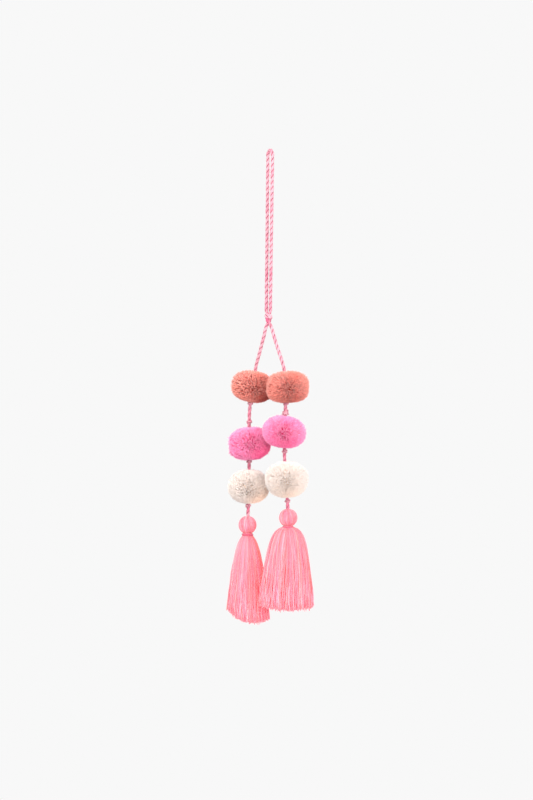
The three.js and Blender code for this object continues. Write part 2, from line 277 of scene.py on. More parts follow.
# The cord's tones from pale to rose, and where each lies on the scale of tone.
CORD_PALE = linear("#D69FAA")
CORD_TONES = np.array([CORD_PALE, linear("#D08E9C"), linear("#CC788C"), linear("#C4587A")])
CORD_TONE_AT = [0, 0.5, 1, 2]
# The painted shade in the cord's creases.
CORD_CREASE_SHADE = linear("#985266")
THREAD_CODES = ["#F77483", "#F88D94", "#F76D6A", "#F27A90", "#F29EA6", "#ED6176"]
THREAD_SHADES = np.array([linear(code) for code in THREAD_CODES])
THREAD_SHARES = [0.34, 0.27, 0.13, 0.12, 0.07, 0.07]
THREAD_BRIGHTEST = [0.95, 0.40, 0.45]
HEAD_TONE = np.array([0.86, 0.94, 0.96])
# The head's core, seen between its threads, in painted shade.
HEAD_CORE_SHADE = linear("#A03452")
BINDING_TINT = linear("#B85068")
TIE_TINT = linear("#E6B9B4")
END_KNOT_TINT = linear("#F3A9B8")


# ---- mesh building

def seeded(kind, number=0):
    """The random source of one piece, the same in each run."""
    return np.random.default_rng(SEEDS[kind] + number)


def unit(vectors):
    return vectors / np.maximum(np.linalg.norm(vectors, axis=-1, keepdims=True), 1e-12)


def smooth(x):
    """A soft step, from 0 at x = 0 to 1 at x = 1."""
    x = np.clip(x, 0, 1)
    return x * x * (3 - 2 * x)


def distance_along(line):
    """The distance of each point of line from its start."""
    return np.concatenate([[0], np.cumsum(np.linalg.norm(np.diff(line, axis=0), axis=1))])


def directions_across(along, reference):
    """Two directions square to along and to each other, the first as near as can be to reference."""
    reference = np.broadcast_to(np.asarray(reference, float), along.shape)
    across = unit(reference - (reference * along).sum(-1, keepdims=True) * along)
    return across, np.cross(along, across)


def ring_directions(along, reference, sides):
    """Directions all round along, the first as near as can be to reference."""
    across, third = directions_across(along, reference)
    angle = (TAU * np.arange(sides) / sides)[:, None]
    return np.cos(angle) * across[..., None, :] + np.sin(angle) * third[..., None, :]


def wobble(rng, points, wavelength, waves=4):
    """Smooth noise in about -1 to 1 at points, from a few random waves of about one wavelength."""
    total = np.zeros(points.shape[:-1])
    for _ in range(waves):
        direction = unit(rng.normal(size=3)) * TAU / wavelength * rng.uniform(0.6, 1.5)
        total += np.sin(points @ direction + rng.uniform(0, TAU))
    usual_peak = 1.2
    return total / waves ** 0.5 / usual_peak


# Bake layout: each tube has a square cell, with its wall above a strip for its lid.
CELL_EDGE = 0.06
WALL_FROM = 0.04
WALL_SPAN = 0.9
LID_MIDDLE = (0.5, 0.02)
LID_HALF = (0.4, 0.015)
SHELL_RADIUS = 0.45


class Build:
    """Closed tubes gathered into one mesh, each with its colours and its own cell of the bake layout."""

    def __init__(self):
        self.points = []
        self.tints = []
        self.faces = []
        self.count = 0

    def tubes(self, centres, radii, tints, sides, reference=(0, 1, 0), tip=0.5):
        """Many tubes at once, along centres, (tubes, rings, 3). radii is (tubes, rings) and tints is
        (tubes, rings, 3). reference is a direction that tubes seldom run along, and tip is the length
        of the pointed end in radii."""
        radii = np.repeat(radii[..., None], sides, axis=2)
        tints = np.repeat(tints[:, :, None], sides, axis=2)
        along = unit(np.gradient(centres, axis=1))
        ring = ring_directions(along, reference, sides)
        walls = centres[:, :, None] + radii[..., None] * ring
        reach = tip * radii[:, -1].mean(-1)[:, None]
        self.add_walls(walls, tints, centres[:, -1] + along[:, -1] * reach)

    def add_walls(self, walls, tints, ends):
        """Tubes given by the points of their rings, (tubes, rings, sides, 3), and their tints, the
        same. A flat lid closes each at its start, and a cone to its point in ends at its end."""
        number, rings, sides, _ = walls.shape
        block = rings * sides + 1
        points = np.concatenate([walls.reshape(number, -1, 3), ends[:, None]], axis=1)
        end_tints = tints[:, -1].mean(1)[:, None]
        colours = np.concatenate([tints.reshape(number, -1, 3), end_tints], axis=1)
        start = self.count + block * np.arange(number)
        row, side = np.meshgrid(np.arange(rings - 1), np.arange(sides), indexing="ij")
        after = (side + 1) % sides
        quad = np.stack([
            row * sides + side, row * sides + after,
            (row + 1) * sides + after, (row + 1) * sides + side,
        ], axis=-1).reshape(-1, 4)
        last = (rings - 1) * sides
        turn = np.arange(sides)
        cone = np.stack([last + turn, last + (turn + 1) % sides, np.full(sides, block - 1)], axis=-1)
        lid = turn[::-1].reshape(1, -1)
        quad_u = np.stack([side, side + 1, side + 1, side], axis=-1).reshape(-1, 4) / sides
        quad_row = np.stack([row, row, row + 1, row + 1], axis=-1).reshape(-1, 4)
        quad_v = WALL_FROM + WALL_SPAN * quad_row / rings
        cone_u = np.stack([turn, turn + 1, turn + 0.5], axis=-1) / sides
        cone_row = np.broadcast_to([rings - 1, rings - 1, rings], (sides, 3))
        cone_v = WALL_FROM + WALL_SPAN * cone_row / rings
        lid_u = LID_MIDDLE[0] + LID_HALF[0] * np.cos(TAU * lid / sides)
        lid_v = LID_MIDDLE[1] + LID_HALF[1] * np.sin(TAU * lid / sides)
        self.points.append(points.reshape(-1, 3))
        self.tints.append(colours.reshape(-1, 3))
        kinds = [(quad, quad_u, quad_v), (cone, cone_u, cone_v), (lid, lid_u, lid_v)]
        self.faces.append((start, kinds))
        self.count += number * block

    def shell(self, points, triangles, tint):
        """A closed form of triangles in one colour, all laid on one triangle of one cell."""
        start = np.array([self.count])
        corner = TAU * np.arange(3) / 3
        u = np.broadcast_to(0.5 + SHELL_RADIUS * np.cos(corner), triangles.shape)
        v = np.broadcast_to(0.5 + SHELL_RADIUS * np.sin(corner), triangles.shape)
        self.points.append(points)
        self.tints.append(np.broadcast_to(tint, points.shape))
        self.faces.append((start, [(triangles, u, v)]))
        self.count += len(points)

    def mesh(self, name):
        """Everything gathered so far, as one object."""
        cells = sum(len(start) for start, _ in self.faces)
        grid = math.ceil(math.sqrt(cells))
        corner_lists = []
        totals = []
        uvs = []
        cell = 0
        for start, kinds in self.faces:
            place = cell + np.arange(len(start))
            origin_u = (place % grid)[:, None, None]
            origin_v = (place // grid)[:, None, None]
            for corners, u, v in kinds:
                index = start[:, None, None] + corners[None]
                corner_lists.append(index.reshape(-1))
                totals.append(np.full(index.shape[0] * index.shape[1], corners.shape[1]))
                shape = (len(start), *corners.shape)
                inside = 1 - 2 * CELL_EDGE
                cell_u = (origin_u + CELL_EDGE + inside * np.broadcast_to(u, shape)) / grid
                cell_v = (origin_v + CELL_EDGE + inside * np.broadcast_to(v, shape)) / grid
                uvs.append(np.stack([cell_u, cell_v], axis=-1).reshape(-1, 2))
            cell += len(start)
        corners = np.concatenate(corner_lists)
        totals = np.concatenate(totals)
        points = np.concatenate(self.points)
        mesh = bpy.data.meshes.new(name)
        mesh.vertices.add(len(points))
        mesh.vertices.foreach_set("co", points.astype(np.float32).ravel())
        mesh.loops.add(len(corners))
        mesh.loops.foreach_set("vertex_index", corners.astype(np.int32))
        mesh.polygons.add(len(totals))
        first = np.concatenate([[0], np.cumsum(totals)[:-1]])
        mesh.polygons.foreach_set("loop_start", first.astype(np.int32))
        mesh.polygons.foreach_set("use_smooth", np.ones(len(totals), bool))
        layer = mesh.uv_layers.new(name="OFBake")
        layer.data.foreach_set("uv", np.concatenate(uvs).astype(np.float32).ravel())
        tint = mesh.color_attributes.new(name="Tint", type="FLOAT_COLOR", domain="POINT")
        rgba = np.concatenate([np.concatenate(self.tints), np.ones((len(points), 1))], axis=1)
        tint.data.foreach_set("color", np.clip(rgba, 0, 1).astype(np.float32).ravel())
        mesh.update(calc_edges=True)
        mesh.validate()
        piece = bpy.data.objects.new(name, mesh)
        bpy.context.scene.collection.objects.link(piece)
        return piece


def finish_piece(build, name, material, node):
    """Everything in build as one piece, which stands for the CAD node."""
    piece = build.mesh(name)
    piece.data.materials.append(material)
    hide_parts(node)
    return piece


# ---- materials

TONE_VARIATION = 0.08


def new_node(tree, kind, values=()):
    """A shader node, with the given values on its sockets."""
    node = tree.nodes.new(f"ShaderNode{kind}")
    for socket, value in dict(values).items():
        node.inputs[socket].default_value = value
    return node


def new_material(name):
    material = bpy.data.materials.new(name)
    material.use_nodes = True
    return material, material.node_tree


def fibre_material(name, roughness, sheen, grain, grain_scale):
    """A soft matt fibre: its colour is "Tint", varied a little in tone, with a fine grain."""
    material, tree = new_material(name)
    surface = tree.nodes["Principled BSDF"]
    surface.inputs["Roughness"].default_value = roughness
    surface.inputs["Specular IOR Level"].default_value = 0.25
    surface.inputs["Sheen Weight"].default_value = sheen
    surface.inputs["Sheen Roughness"].default_value = 0.5
    tint = new_node(tree, "Attribute")
    tint.attribute_name = "Tint"
    place = new_node(tree, "TexCoord")
    clouds = new_node(tree, "TexNoise", {"Scale": 160, "Detail": 3})
    tone = new_node(tree, "MapRange", {"To Min": 1 - TONE_VARIATION, "To Max": 1 + TONE_VARIATION})
    vary = new_node(tree, "VectorMath")
    vary.operation = "SCALE"
    fine = new_node(tree, "TexNoise", {"Scale": grain_scale, "Detail": 2})
    bump = new_node(tree, "Bump", {"Strength": grain, "Distance": 0.05 * MM})
    link = tree.links.new
    link(place.outputs["Object"], clouds.inputs["Vector"])
    link(place.outputs["Object"], fine.inputs["Vector"])
    link(clouds.outputs["Fac"], tone.inputs["Value"])
    link(tint.outputs["Color"], vary.inputs[0])
    link(tone.outputs["Result"], vary.inputs["Scale"])
    link(vary.outputs["Vector"], surface.inputs["Base Color"])
    link(fine.outputs["Fac"], bump.inputs["Height"])
    link(bump.outputs["Normal"], surface.inputs["Normal"])
    return material


CORD_MATERIAL = fibre_material("twisted_cord", 0.9, 0.1, 0.5, 5200)
YARN_MATERIALS = {
    "coral": fibre_material("coral_yarn_fibre", 0.8, 0.3, 0.2, 6000),
    "pink": fibre_material("pink_yarn_fibre", 0.78, 0.3, 0.2, 6000),
    "cream": fibre_material("cream_yarn_fibre", 0.85, 0.3, 0.2, 6000),
}
THREAD_MATERIAL = fibre_material("tassel_thread_floss", 0.6, 0.25, 0.4, 4200)
BINDING_MATERIAL = fibre_material("binding_floss", 0.65, 0.2, 0.4, 4200)


# ---- camera, light, floor

# The point in the middle of the photo, across and up, and how far off the camera stands.
PHOTO_MIDDLE = (-0.00296, -0.1986)
CAMERA_DISTANCE = 3.556
BACKDROP_GREY = (0.9387, 0.9387, 0.9387, 1)
ROOM_COLOUR = (1, 0.99, 0.985, 1)
ROOM_STRENGTH = 0.95
LAMP_TARGET = (0, 0, -0.22)
# Each lamp's place, size, power in watts and colour.
LAMPS = {
    "key": ((-0.6, -1.2, 0.9), 0.9, 27, (1, 0.985, 0.97)),
    "fill": ((1.1, -1.3, -0.1), 1.2, 19, (1, 0.98, 0.99)),
    "rim": ((0.1, 1.4, 0.6), 1.0, 14, (1, 1, 1)),
    "front": ((-0.2, -2.2, 0.1), 1.4, 20, (1, 0.99, 0.98)),
}
FLOOR_HALF = 0.7
FLOOR_TOP = -0.95
FLOOR_THICKNESS = 0.02


def add_camera():
    data = bpy.data.cameras.new("camera")
    data.sensor_fit = "VERTICAL"
    data.sensor_height = 36
    data.lens = 200
    data.clip_end = 20
    camera = bpy.data.objects.new("camera", data)
    camera.location = (PHOTO_MIDDLE[0], -CAMERA_DISTANCE, PHOTO_MIDDLE[1])
    camera.rotation_euler = (math.pi / 2, 0, 0)
    bpy.context.scene.collection.objects.link(camera)
    bpy.context.scene.camera = camera


def add_world():
    """The camera sees a light grey backdrop, and a white room lights the charm."""
    world = bpy.data.worlds.new("studio")
    bpy.context.scene.world = world
    world.use_nodes = True
    tree = world.node_tree
    tree.nodes.clear()
    output = new_node(tree, "OutputWorld")
    mix = new_node(tree, "MixShader")
    rays = new_node(tree, "LightPath")
    room = new_node(tree, "Background", {"Color": ROOM_COLOUR, "Strength": ROOM_STRENGTH})
    seen = new_node(tree, "Background", {"Color": BACKDROP_GREY})
    tree.links.new(rays.outputs["Is Camera Ray"], mix.inputs["Fac"])
    tree.links.new(room.outputs["Background"], mix.inputs[1])
    tree.links.new(seen.outputs["Background"], mix.inputs[2])
    tree.links.new(mix.outputs["Shader"], output.inputs["Surface"])


def add_lamp(name, place, size, power, colour):
    data = bpy.data.lights.new(name, "AREA")
    data.shape = "DISK"
    data.size = size
    data.energy = power
    data.color = colour
    lamp = bpy.data.objects.new(name, data)
    lamp.location = place
    aim = np.subtract(LAMP_TARGET, place)
    tilt = math.acos(-aim[2] / np.linalg.norm(aim))
    lamp.rotation_euler = (tilt, 0, math.atan2(aim[1], aim[0]) - math.pi / 2)
    bpy.context.scene.collection.objects.link(lamp)


def add_floor():
    """A pale floor well below the hanging charm."""
    across = (-FLOOR_HALF, FLOOR_HALF)
    levels = (FLOOR_TOP, FLOOR_TOP - FLOOR_THICKNESS)
    corners = [(x, y, z) for z in levels for y in across for x in across]
    faces = [(0, 1, 3, 2), (4, 6, 7, 5), (0, 4, 5, 1), (1, 5, 7, 3), (3, 7, 6, 2), (2, 6, 4, 0)]
    mesh = bpy.data.meshes.new("floor")
    mesh.from_pydata(corners, [], faces)
    floor = bpy.data.objects.new("floor", mesh)
    bpy.context.scene.collection.objects.link(floor)
    material, tree = new_material("floor_paint")
    paint = tree.nodes["Principled BSDF"]
    paint.inputs["Base Color"].default_value = (0.9, 0.9, 0.9, 1)
    paint.inputs["Roughness"].default_value = 0.9
    mesh.materials.append(material)


add_camera()
add_world()
for name, (place, size, power, colour) in LAMPS.items():
    add_lamp(name, place, size, power, colour)
add_floor()
bpy.context.scene.view_settings.view_transform = "Standard"


# ---- cords

def curve_through(points, step):
    """Centripetal Catmull-Rom curve through points, evened to the given step. The ends are kept."""
    points = np.array(points, float)
    first = 2 * points[0] - points[1]
    last = 2 * points[-1] - points[-2]
    control = np.vstack([first, points, last])
    samples = 60
    dense = []
    for i in range(len(points) - 1):
        p = control[i:i + 4]
        knots = np.concatenate([[0], np.cumsum(np.linalg.norm(np.diff(p, axis=0), axis=1) ** 0.5)])
        t = np.linspace(knots[1], knots[2], samples, endpoint=False)[:, None]
        pyramid = [p[j] * (knots[j + 1] - t) + p[j + 1] * (t - knots[j]) for j in range(3)]
        a = [pyramid[j] / (knots[j + 1] - knots[j]) for j in range(3)]
        b = [
            (a[j] * (knots[j + 2] - t) + a[j + 1] * (t - knots[j])) / (knots[j + 2] - knots[j])
            for j in range(2)
        ]
        dense.append((b[0] * (knots[2] - t) + b[1] * (t - knots[1])) / (knots[2] - knots[1]))
    dense = np.vstack([*dense, points[-1:]])
    return evened(dense, step)


def evened(line, step):
    """The same line, its points spaced evenly, about step apart."""
    travel = distance_along(line)
    count = max(2, int(round(travel[-1] / step)) + 1)
    at = np.linspace(0, travel[-1], count)
    return np.stack([np.interp(at, travel, line[:, k]) for k in range(3)], axis=-1)


def length_of(line):
    return float(np.linalg.norm(np.diff(line, axis=0), axis=1).sum())


FOLD_NORMAL = unit(np.array([FOLD_HALF_DEPTH, FOLD_HALF_WIDTH, 0]))


def lay_plies(
    build, line, start, rng, scale=1.0, shade=0.0, fuzz=FUZZ_PER_MM, taper=False, squeeze=0.0,
):
    """Two plies laid along line, whose first point is start metres along the whole cord. shade above 0
    is rosier and below 0 paler, as one number or one for each point. fuzz is loose fibres for each
    millimetre. taper thins both ends, and squeeze is the length of the far end that is drawn thin."""
    along = unit(np.gradient(line, axis=0))
    across, third = directions_across(along, FOLD_NORMAL)
    travel = start + distance_along(line)
    phase = TAU * travel / (LAY_LENGTH * scale)
    size = np.full(len(line), scale)
    if taper:
        steps_in = np.minimum(np.arange(len(line)), np.arange(len(line))[::-1])
        size = size * (TAPER_SIZE + (1 - TAPER_SIZE) * smooth(steps_in / TAPER_STEPS))
    if squeeze:
        size = size * (1 - SQUEEZED_BY * smooth(1 - (travel[-1] - travel) / squeeze))
    fatness = 1 + sum(part * np.sin(travel * pace + shift) for part, pace, shift in PLY_WAVES)
    side = TAU * np.arange(PLY_SIDES) / PLY_SIDES
    # Painted shade in the crease towards the other ply, and in the grooves between the yarns.
    crease_shade = CREASE_SHADE_DEPTH * smooth((CREASE_FROM - np.cos(side)) / CREASE_WIDTH)
    swell = 1 + PLY_SWELL * np.sin(side) ** 2
    for ply in (0, 1):
        turn = phase + math.pi * ply
        outward = np.cos(turn)[:, None] * across + np.sin(turn)[:, None] * third
        centre = line + outward * (PLY_OFFSET * size)[:, None]
        yarns = np.cos(YARNS_IN_PLY * side[None] + YARN_SPIRAL * turn[:, None])
        radius = PLY_RADIUS * (size * fatness)[:, None] * (1 + YARN_RIDGE * yarns) * swell[None]
        groove_shade = YARN_GROOVE_SHADE * (1 - yarns) / 2
        tone_rng = np.random.default_rng(PLY_TONE_SEED + ply)
        tone = wobble(tone_rng, travel[:, None] * np.ones(3), TONE_WAVELENGTH)
        tone = np.clip(0.5 + 0.45 * tone + shade, CORD_TONE_AT[0], CORD_TONE_AT[-1])
        base = [np.interp(tone, CORD_TONE_AT, CORD_TONES[:, k]) for k in range(3)]
        tint = np.stack(base, axis=-1)[:, None] * (1 - groove_shade)[..., None]
        tint = tint + (CORD_CREASE_SHADE - tint) * crease_shade[None, :, None]
        add_ply(build, centre, radius, tint, outward)
    loose = int(fuzz * length_of(line) / MM)
    if loose:
        add_fuzz(build, line, along, loose, scale, rng)


def add_ply(build, centre, radius, tint, outward):
    """One ply as a tube whose section starts on the side away from the other ply."""
    along = unit(np.gradient(centre, axis=0))
    ring = ring_directions(along, outward, PLY_SIDES)
    walls = centre[:, None] + radius[..., None] * ring
    ends = centre[-1:] + along[-1:] * PLY_RADIUS * 0.3
    build.add_walls(walls[None], tint[None], ends)


def add_fuzz(build, line, along, count, scale, rng):
    """Loose fibres that stand off the cord."""
    at = rng.integers(0, len(line), count)
    out, _ = directions_across(along[at], rng.normal(size=(count, 3)))
    lean = along[at] * rng.normal(0, 0.8, (count, 1))
    reach = rng.uniform(0.3, 0.95, count)[:, None] * MM
    root = line[at] + out * 0.9 * MM * scale
    way = unit(out + lean)
    bend = unit(rng.normal(size=(count, 3))) * reach * 0.35
    steps = [root, root + way * reach * 0.55 + bend * 0.4, root + way * reach + bend]
    centres = np.stack(steps, axis=1)
    radii = np.broadcast_to(FUZZ_RADII, (count, 3))
    tints = np.broadcast_to(CORD_PALE, centres.shape)
    build.tubes(centres, radii, tints, 3, reference=(0.3, 0.9, 0.31))


def finish_cord(build, name, node):
    """The gathered plies as one piece, which stands for the CAD node."""
    piece = finish_piece(build, name, CORD_MATERIAL, node)
    return piece


def split_at(line, cuts):
    """The line's pieces between the points nearest to each cut, sharing their end points, each with
    how far along the line it starts."""
    marks = [0] + [int(np.argmin(np.linalg.norm(line - np.array(cut), axis=1))) for cut in cuts]
    marks.append(len(line) - 1)
    return [(line[a:b + 1], length_of(line[:a + 1])) for a, b in zip(marks, marks[1:])]


def fold_arc(sign):
    """Half the fold at the loop's top, from its middle to one side."""
    angle = np.linspace(0, math.pi / 2, 25)
    across = sign * np.sin(angle)
    up = FOLD_CENTRE_Z + FOLD_RADIUS * np.cos(angle)
    return np.stack([FOLD_HALF_WIDTH * across, -FOLD_HALF_DEPTH * across, up], axis=-1)


def add_loop(side, rng):
    """One half of the wrist loop: half its fold, and the run from there down into the knot."""
    sign = -1 if side == "left" else 1
    foot = RUN_FOOT[side]
    top = (sign * FOLD_HALF_WIDTH, -sign * FOLD_HALF_DEPTH, HINGE_Z)
    run = np.subtract(foot, top)

    def point_at(z):
        return np.add(top, run * ((z - top[2]) / run[2]))

    line = evened(np.vstack([fold_arc(sign), [top], [foot], [RUN_END[side]]]), CORD_STEP)
    upper = f"loop_{side}_upper"
    lower = f"loop_{side}_lower"
    stretches = [
        ("fold", "loop_cord_top", "loop_top", upper, top, FOLD_BEND),
        ("middle", f"loop_cord_{side}_upper", upper, lower, point_at(RUN_MIDDLE_Z), ELBOW_BEND),
        ("foot", f"loop_cord_{side}_lower", lower, "knot", foot, FOOT_BEND),
    ]
    parts = split_at(line, [point_at(UPPER_CUT_Z), point_at(LOWER_CUT_Z)])
    for (stretch, node, body, next_body, pivot, half), (part, start) in zip(stretches, parts):
        build = Build()
        lay_plies(build, part, start, rng, squeeze=FOOT_SQUEEZE if stretch == "foot" else 0)
        piece = finish_cord(build, f"{side}_loop_{stretch}", node)
        if (side, stretch) == ("right", "foot"):
            # The linkage is open here: no joint joins this body to the knot, so nothing is blended.
            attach(piece, body)
        else:
            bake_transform(piece)


def add_strand_cord(side, rng):
    """The cord of one strand, from the knot to the end inside the tassel's head."""
    strand = STRANDS[side]
    crossing, leg, middle, lower, tassel = (
        strand[name] for name in ("crossing", "leg", "middle", "lower", "tassel")
    )
    line = curve_through(crossing + leg + middle + lower + tassel, CORD_STEP)
    down = (0, 0, -1)
    stretches = [
        ("leg", "knot", f"{side}_leg", leg[0], np.subtract(leg[1], crossing[1]), 4.6 * MM),
        ("middle", f"{side}_leg", f"{side}_middle", leg[-1], down, 3.2 * MM),
        ("lower", f"{side}_middle", f"{side}_lower", middle[-1], down, 3.2 * MM),
        ("tassel", f"{side}_lower", f"{side}_tassel", lower[-1], down, 3.4 * MM),
    ]
    parts = split_at(line, [leg[LEG_CUT], middle[0], lower[0]])
    for (stretch, body, next_body, pivot, way, half), (part, start) in zip(stretches, parts):
        build = Build()
        shade = STRAND_SHADE
        if stretch == "leg":
            travel = np.linspace(0, length_of(part), len(part))
            shade = CROSSING_SHADE * (1 - smooth(travel / CROSSING_LENGTH))
        lay_plies(build, part, start + STRAND_TWIST, rng, shade=shade)
        piece = finish_cord(build, f"{side}_{stretch}_run", f"{side}_{stretch}_cord")
        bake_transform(piece)


# ---- knots

def wound(centre, radius, height, turns, lean, start):
    """A coil of cord round a vertical axis, its two ends tucked in towards the axis."""
    tuck = 0.35
    t = np.linspace(0, 1, 90)
    angle = start + TAU * turns * t
    inward = 1 - tuck * (1 - smooth(np.minimum(t, 1 - t) * 7))
    x = radius[0] * inward * np.cos(angle)
    y = radius[1] * inward * np.sin(angle)
    z = height * (0.5 - t) + lean * x
    return np.array(centre) + np.stack([x, y, z], axis=-1)


def add_loop_knot(rng):
    """The overhand knot of both runs: two turns of cord drawn tight round them, a smaller turn over the
    crossing legs, and the cord in its heart."""
    build = Build()
    band = wound(KNOT_CENTRE, (1.95 * MM, 1.75 * MM), 2.7 * MM, 2.1, lean=-0.2, start=2.4)
    lay_plies(build, evened(band, 0.35 * MM), 0, rng, scale=0.98, shade=-0.3, taper=True)
    tuck = wound((-0.0014, 0, -0.1352), (1.15 * MM, 1.15 * MM), 1.6 * MM, 1.3, lean=0.25, start=0.4)
    lay_plies(build, evened(tuck, 0.35 * MM), 0, rng, scale=0.8, shade=0.85, taper=True)
    heart = evened(np.array([(-0.0015, 0, -0.1294), (-0.0014, 0, -0.1362)]), CORD_STEP)
    lay_plies(build, heart, 0, rng, scale=1.0, shade=1.2, fuzz=0, taper=True)
    piece = finish_piece(build, "overhand_knot", CORD_MATERIAL, "loop_knot")
    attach(piece, "knot")


# Each stop knot's body, and its coil's radius and height in millimetres.
STOP_KNOTS = {
    "left_coral_stop_knot": ("left_leg", 1.5, 1.7),
    "left_pink_top_knot": ("left_middle", 1.55, 2.0),
    "left_pink_stop_knot": ("left_middle", 1.5, 1.8),
    "left_cream_stop_knot": ("left_lower", 1.55, 1.9),
    "right_coral_stop_knot": ("right_leg", 1.45, 1.5),
    "right_pink_top_knot": ("right_middle", 1.75, 2.2),
    "right_pink_stop_knot": ("right_middle", 1.55, 1.9),
    "right_cream_stop_knot": ("right_lower", 1.55, 2.0),
}
FRAYED_KNOT = "right_pink_top_knot"


def add_stop_knot(node, body, radius, height, rng):
    low, high = (np.array(corner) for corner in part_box(node))
    centre = (low + high) / 2
    size = (radius * MM, radius * MM)
    build = Build()
    coil = wound(centre, size, height * MM, 1.7, lean=0.15, start=rng.uniform(0, 6))
    lay_plies(build, evened(coil, 0.3 * MM), 0, rng, scale=0.62, shade=0.05, taper=True)
    if node == FRAYED_KNOT:
        add_flare(build, centre, rng)
    name = node.replace("_knot", "_cord_knot")
    piece = finish_piece(build, name, CORD_MATERIAL, node)
    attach(piece, body)


def add_flare(build, centre, rng):
    """The frayed skirt of the pale knot that sits on the right pink pom-pom."""
    count = 70
    around_axis = rng.uniform(0, TAU, count)
    out = np.stack([np.cos(around_axis), np.sin(around_axis), np.zeros(count)], axis=-1)
    reach = rng.uniform(0.8, 1.15, (count, 1))
    down = np.array([0, 0, -1.0])
    root = centre + out * 1.4 * MM + [0, 0, 0.6 * MM]
    bend = root + (out * 0.7 + down * 1.0) * reach * MM
    tip = root + (out * 1.5 + down * 2.7) * reach * MM
    radii = np.broadcast_to(np.array([0.26, 0.24, 0.12]) * MM, (count, 3))
    tints = np.broadcast_to(CORD_PALE, (count, 3, 3)) * rng.uniform(0.86, 1.05, (count, 1, 1))
    centres = np.stack([root, bend, tip], axis=1)
    build.tubes(centres, radii, tints, 4, reference=(0.2, 0.1, 0.97))


# ---- pom-poms

def sphere_directions(count, rng, jitter):
    """Evenly spread directions, each moved a little."""
    index = np.arange(count) + 0.5
    up = 1 - 2 * index / count
    around_axis = TAU * index * GOLDEN_TURN
    flat = np.sqrt(1 - up * up)
    even = np.stack([flat * np.cos(around_axis), flat * np.sin(around_axis), up], axis=-1)
    return unit(even + rng.normal(0, jitter, even.shape))


def fluff_radius(directions, half, power, origin):
    """How far a fluff of these half sizes, round from above and squarer from the side, reaches from
    origin along each direction."""
    low = np.zeros(len(directions))
    high = np.full(len(directions), 2.2 * half.max())
    halvings = 26
    for _ in range(halvings):
        reach = (low + high) / 2
        spot = origin + directions * reach[:, None]
        across = np.hypot(spot[:, 0] / half[0], spot[:, 1] / half[1])
        up = np.abs(spot[:, 2] / half[2])
        outside = across ** power + up ** power > 1
        high = np.where(outside, reach, high)
        low = np.where(outside, low, reach)
    return reach


def placed(points, shape):
    """Points from the pom-pom's own axes, with the cord upwards, put where the pom-pom is."""
    tilt = math.radians(shape["tilt"])
    x = points[..., 0] * math.cos(tilt) + points[..., 2] * math.sin(tilt)
    z = -points[..., 0] * math.sin(tilt) + points[..., 2] * math.cos(tilt)
    turned = np.stack([x, points[..., 1], z + shape["lean"] * x], axis=-1)
    return turned + np.array(shape["middle"]) * MM


def add_pompom(side, shade, rng):
    """A pom-pom's fluff: yarn ends that stand out from its hub all round, each of a few fibres."""
    name = f"{side}_{shade}"
    shape = POMPOMS[name]
    yarn = YARNS[shade]
    half = np.array(shape["half"]) * MM
    hub = np.array(shape["hub"], float) * MM
    ends = sphere_directions(YARN_ENDS, rng, END_JITTER)
    yarn_length = 1 + rng.normal(0, END_UNEVEN, YARN_ENDS)
    short = (rng.random(YARN_ENDS) < yarn["short"]) * rng.uniform(0.5, 1, YARN_ENDS)
    yarn_length = yarn_length - SHORT_BY * short
    yarn_value = 1 + rng.normal(0, shape["mottle"], YARN_ENDS)
    yarn_lean = rng.normal(0, END_LEAN, (YARN_ENDS, 3))

    # From here on each row is a fibre, and which is the yarn end that it belongs to.
    which = np.repeat(np.arange(YARN_ENDS), FIBRES_PER_YARN)
    count = len(which)
    spread = rng.normal(0, yarn["spread"], (count, 3))
    root_way = unit(ends[which] + spread * 0.6)
    tip_way = unit(ends[which] + yarn_lean[which] + spread * 1.35)
    lump = 1 + LUMP_HEIGHT * wobble(rng, ends, LUMP_SIZE)
    far = fluff_radius(tip_way, half, shape["power"], hub)
    near = fluff_radius(root_way, half, shape["power"], hub)
    length = yarn_length[which] * lump[which] * (1 + rng.normal(0, FIBRE_UNEVEN, count))
    stray = rng.random(count) < STRAY_SHARE
    length = length + stray * rng.uniform(*STRAY_REACH, count)
    tip = hub + tip_way * (far * length)[:, None]
    root = hub + root_way * (near * ROOT_AT)[:, None]
    knee = hub + root_way * (near * KNEE_AT)[:, None]
    bow = rng.normal(0, FIBRE_BOW, (count, 3))
    shoulder = knee * (1 - SHOULDER_AT) + tip * SHOULDER_AT + bow
    centres = placed(np.stack([root, shoulder, tip], axis=1), shape)
    radii = yarn["fibre"] * rng.uniform(0.8, 1.15, (count, 1)) * MM * FIBRE_RADII

    value = (yarn_value[which] * (1 + rng.normal(0, 0.05, count)))[:, None]
    # Painted shade: tips that face the shaded side are drawn towards the deeper tip colour.
    towards = np.clip(tip_way @ unit(np.array(PAINTED_SHADE_SIDE[side])), 0, 1)[:, None]
    painted_shade = PAINTED_SHADE_STRENGTH[side] * towards ** 2
    end_tint = yarn["tip"] * (1 - painted_shade) + yarn["painted_shade"] * painted_shade
    # Painted shade: the tips of ends cut short, down in the fluff, are drawn towards the middle colour.
    end_tint = end_tint + (yarn["mid"] - end_tint) * 0.8 * short[which][:, None]
    # Painted shade in the gaps: each fibre's colour goes from its tip to the root colour.
    shoulder_tint = 0.4 * yarn["mid"] + 0.6 * end_tint
    tints = np.stack([yarn["gap_shade"] * value, shoulder_tint * value, end_tint * value], axis=1)
    build = Build()
    build.tubes(centres, radii, tints, 3, reference=(0.31, 0.2, 0.93), tip=0.8)
    add_core(build, half * CORE_SIZE, shape, yarn["gap_shade"])
    material = YARN_MATERIALS[shade]
    piece = finish_piece(build, f"{name}_fluff", material, f"{name}_pompom")
    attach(piece, name)


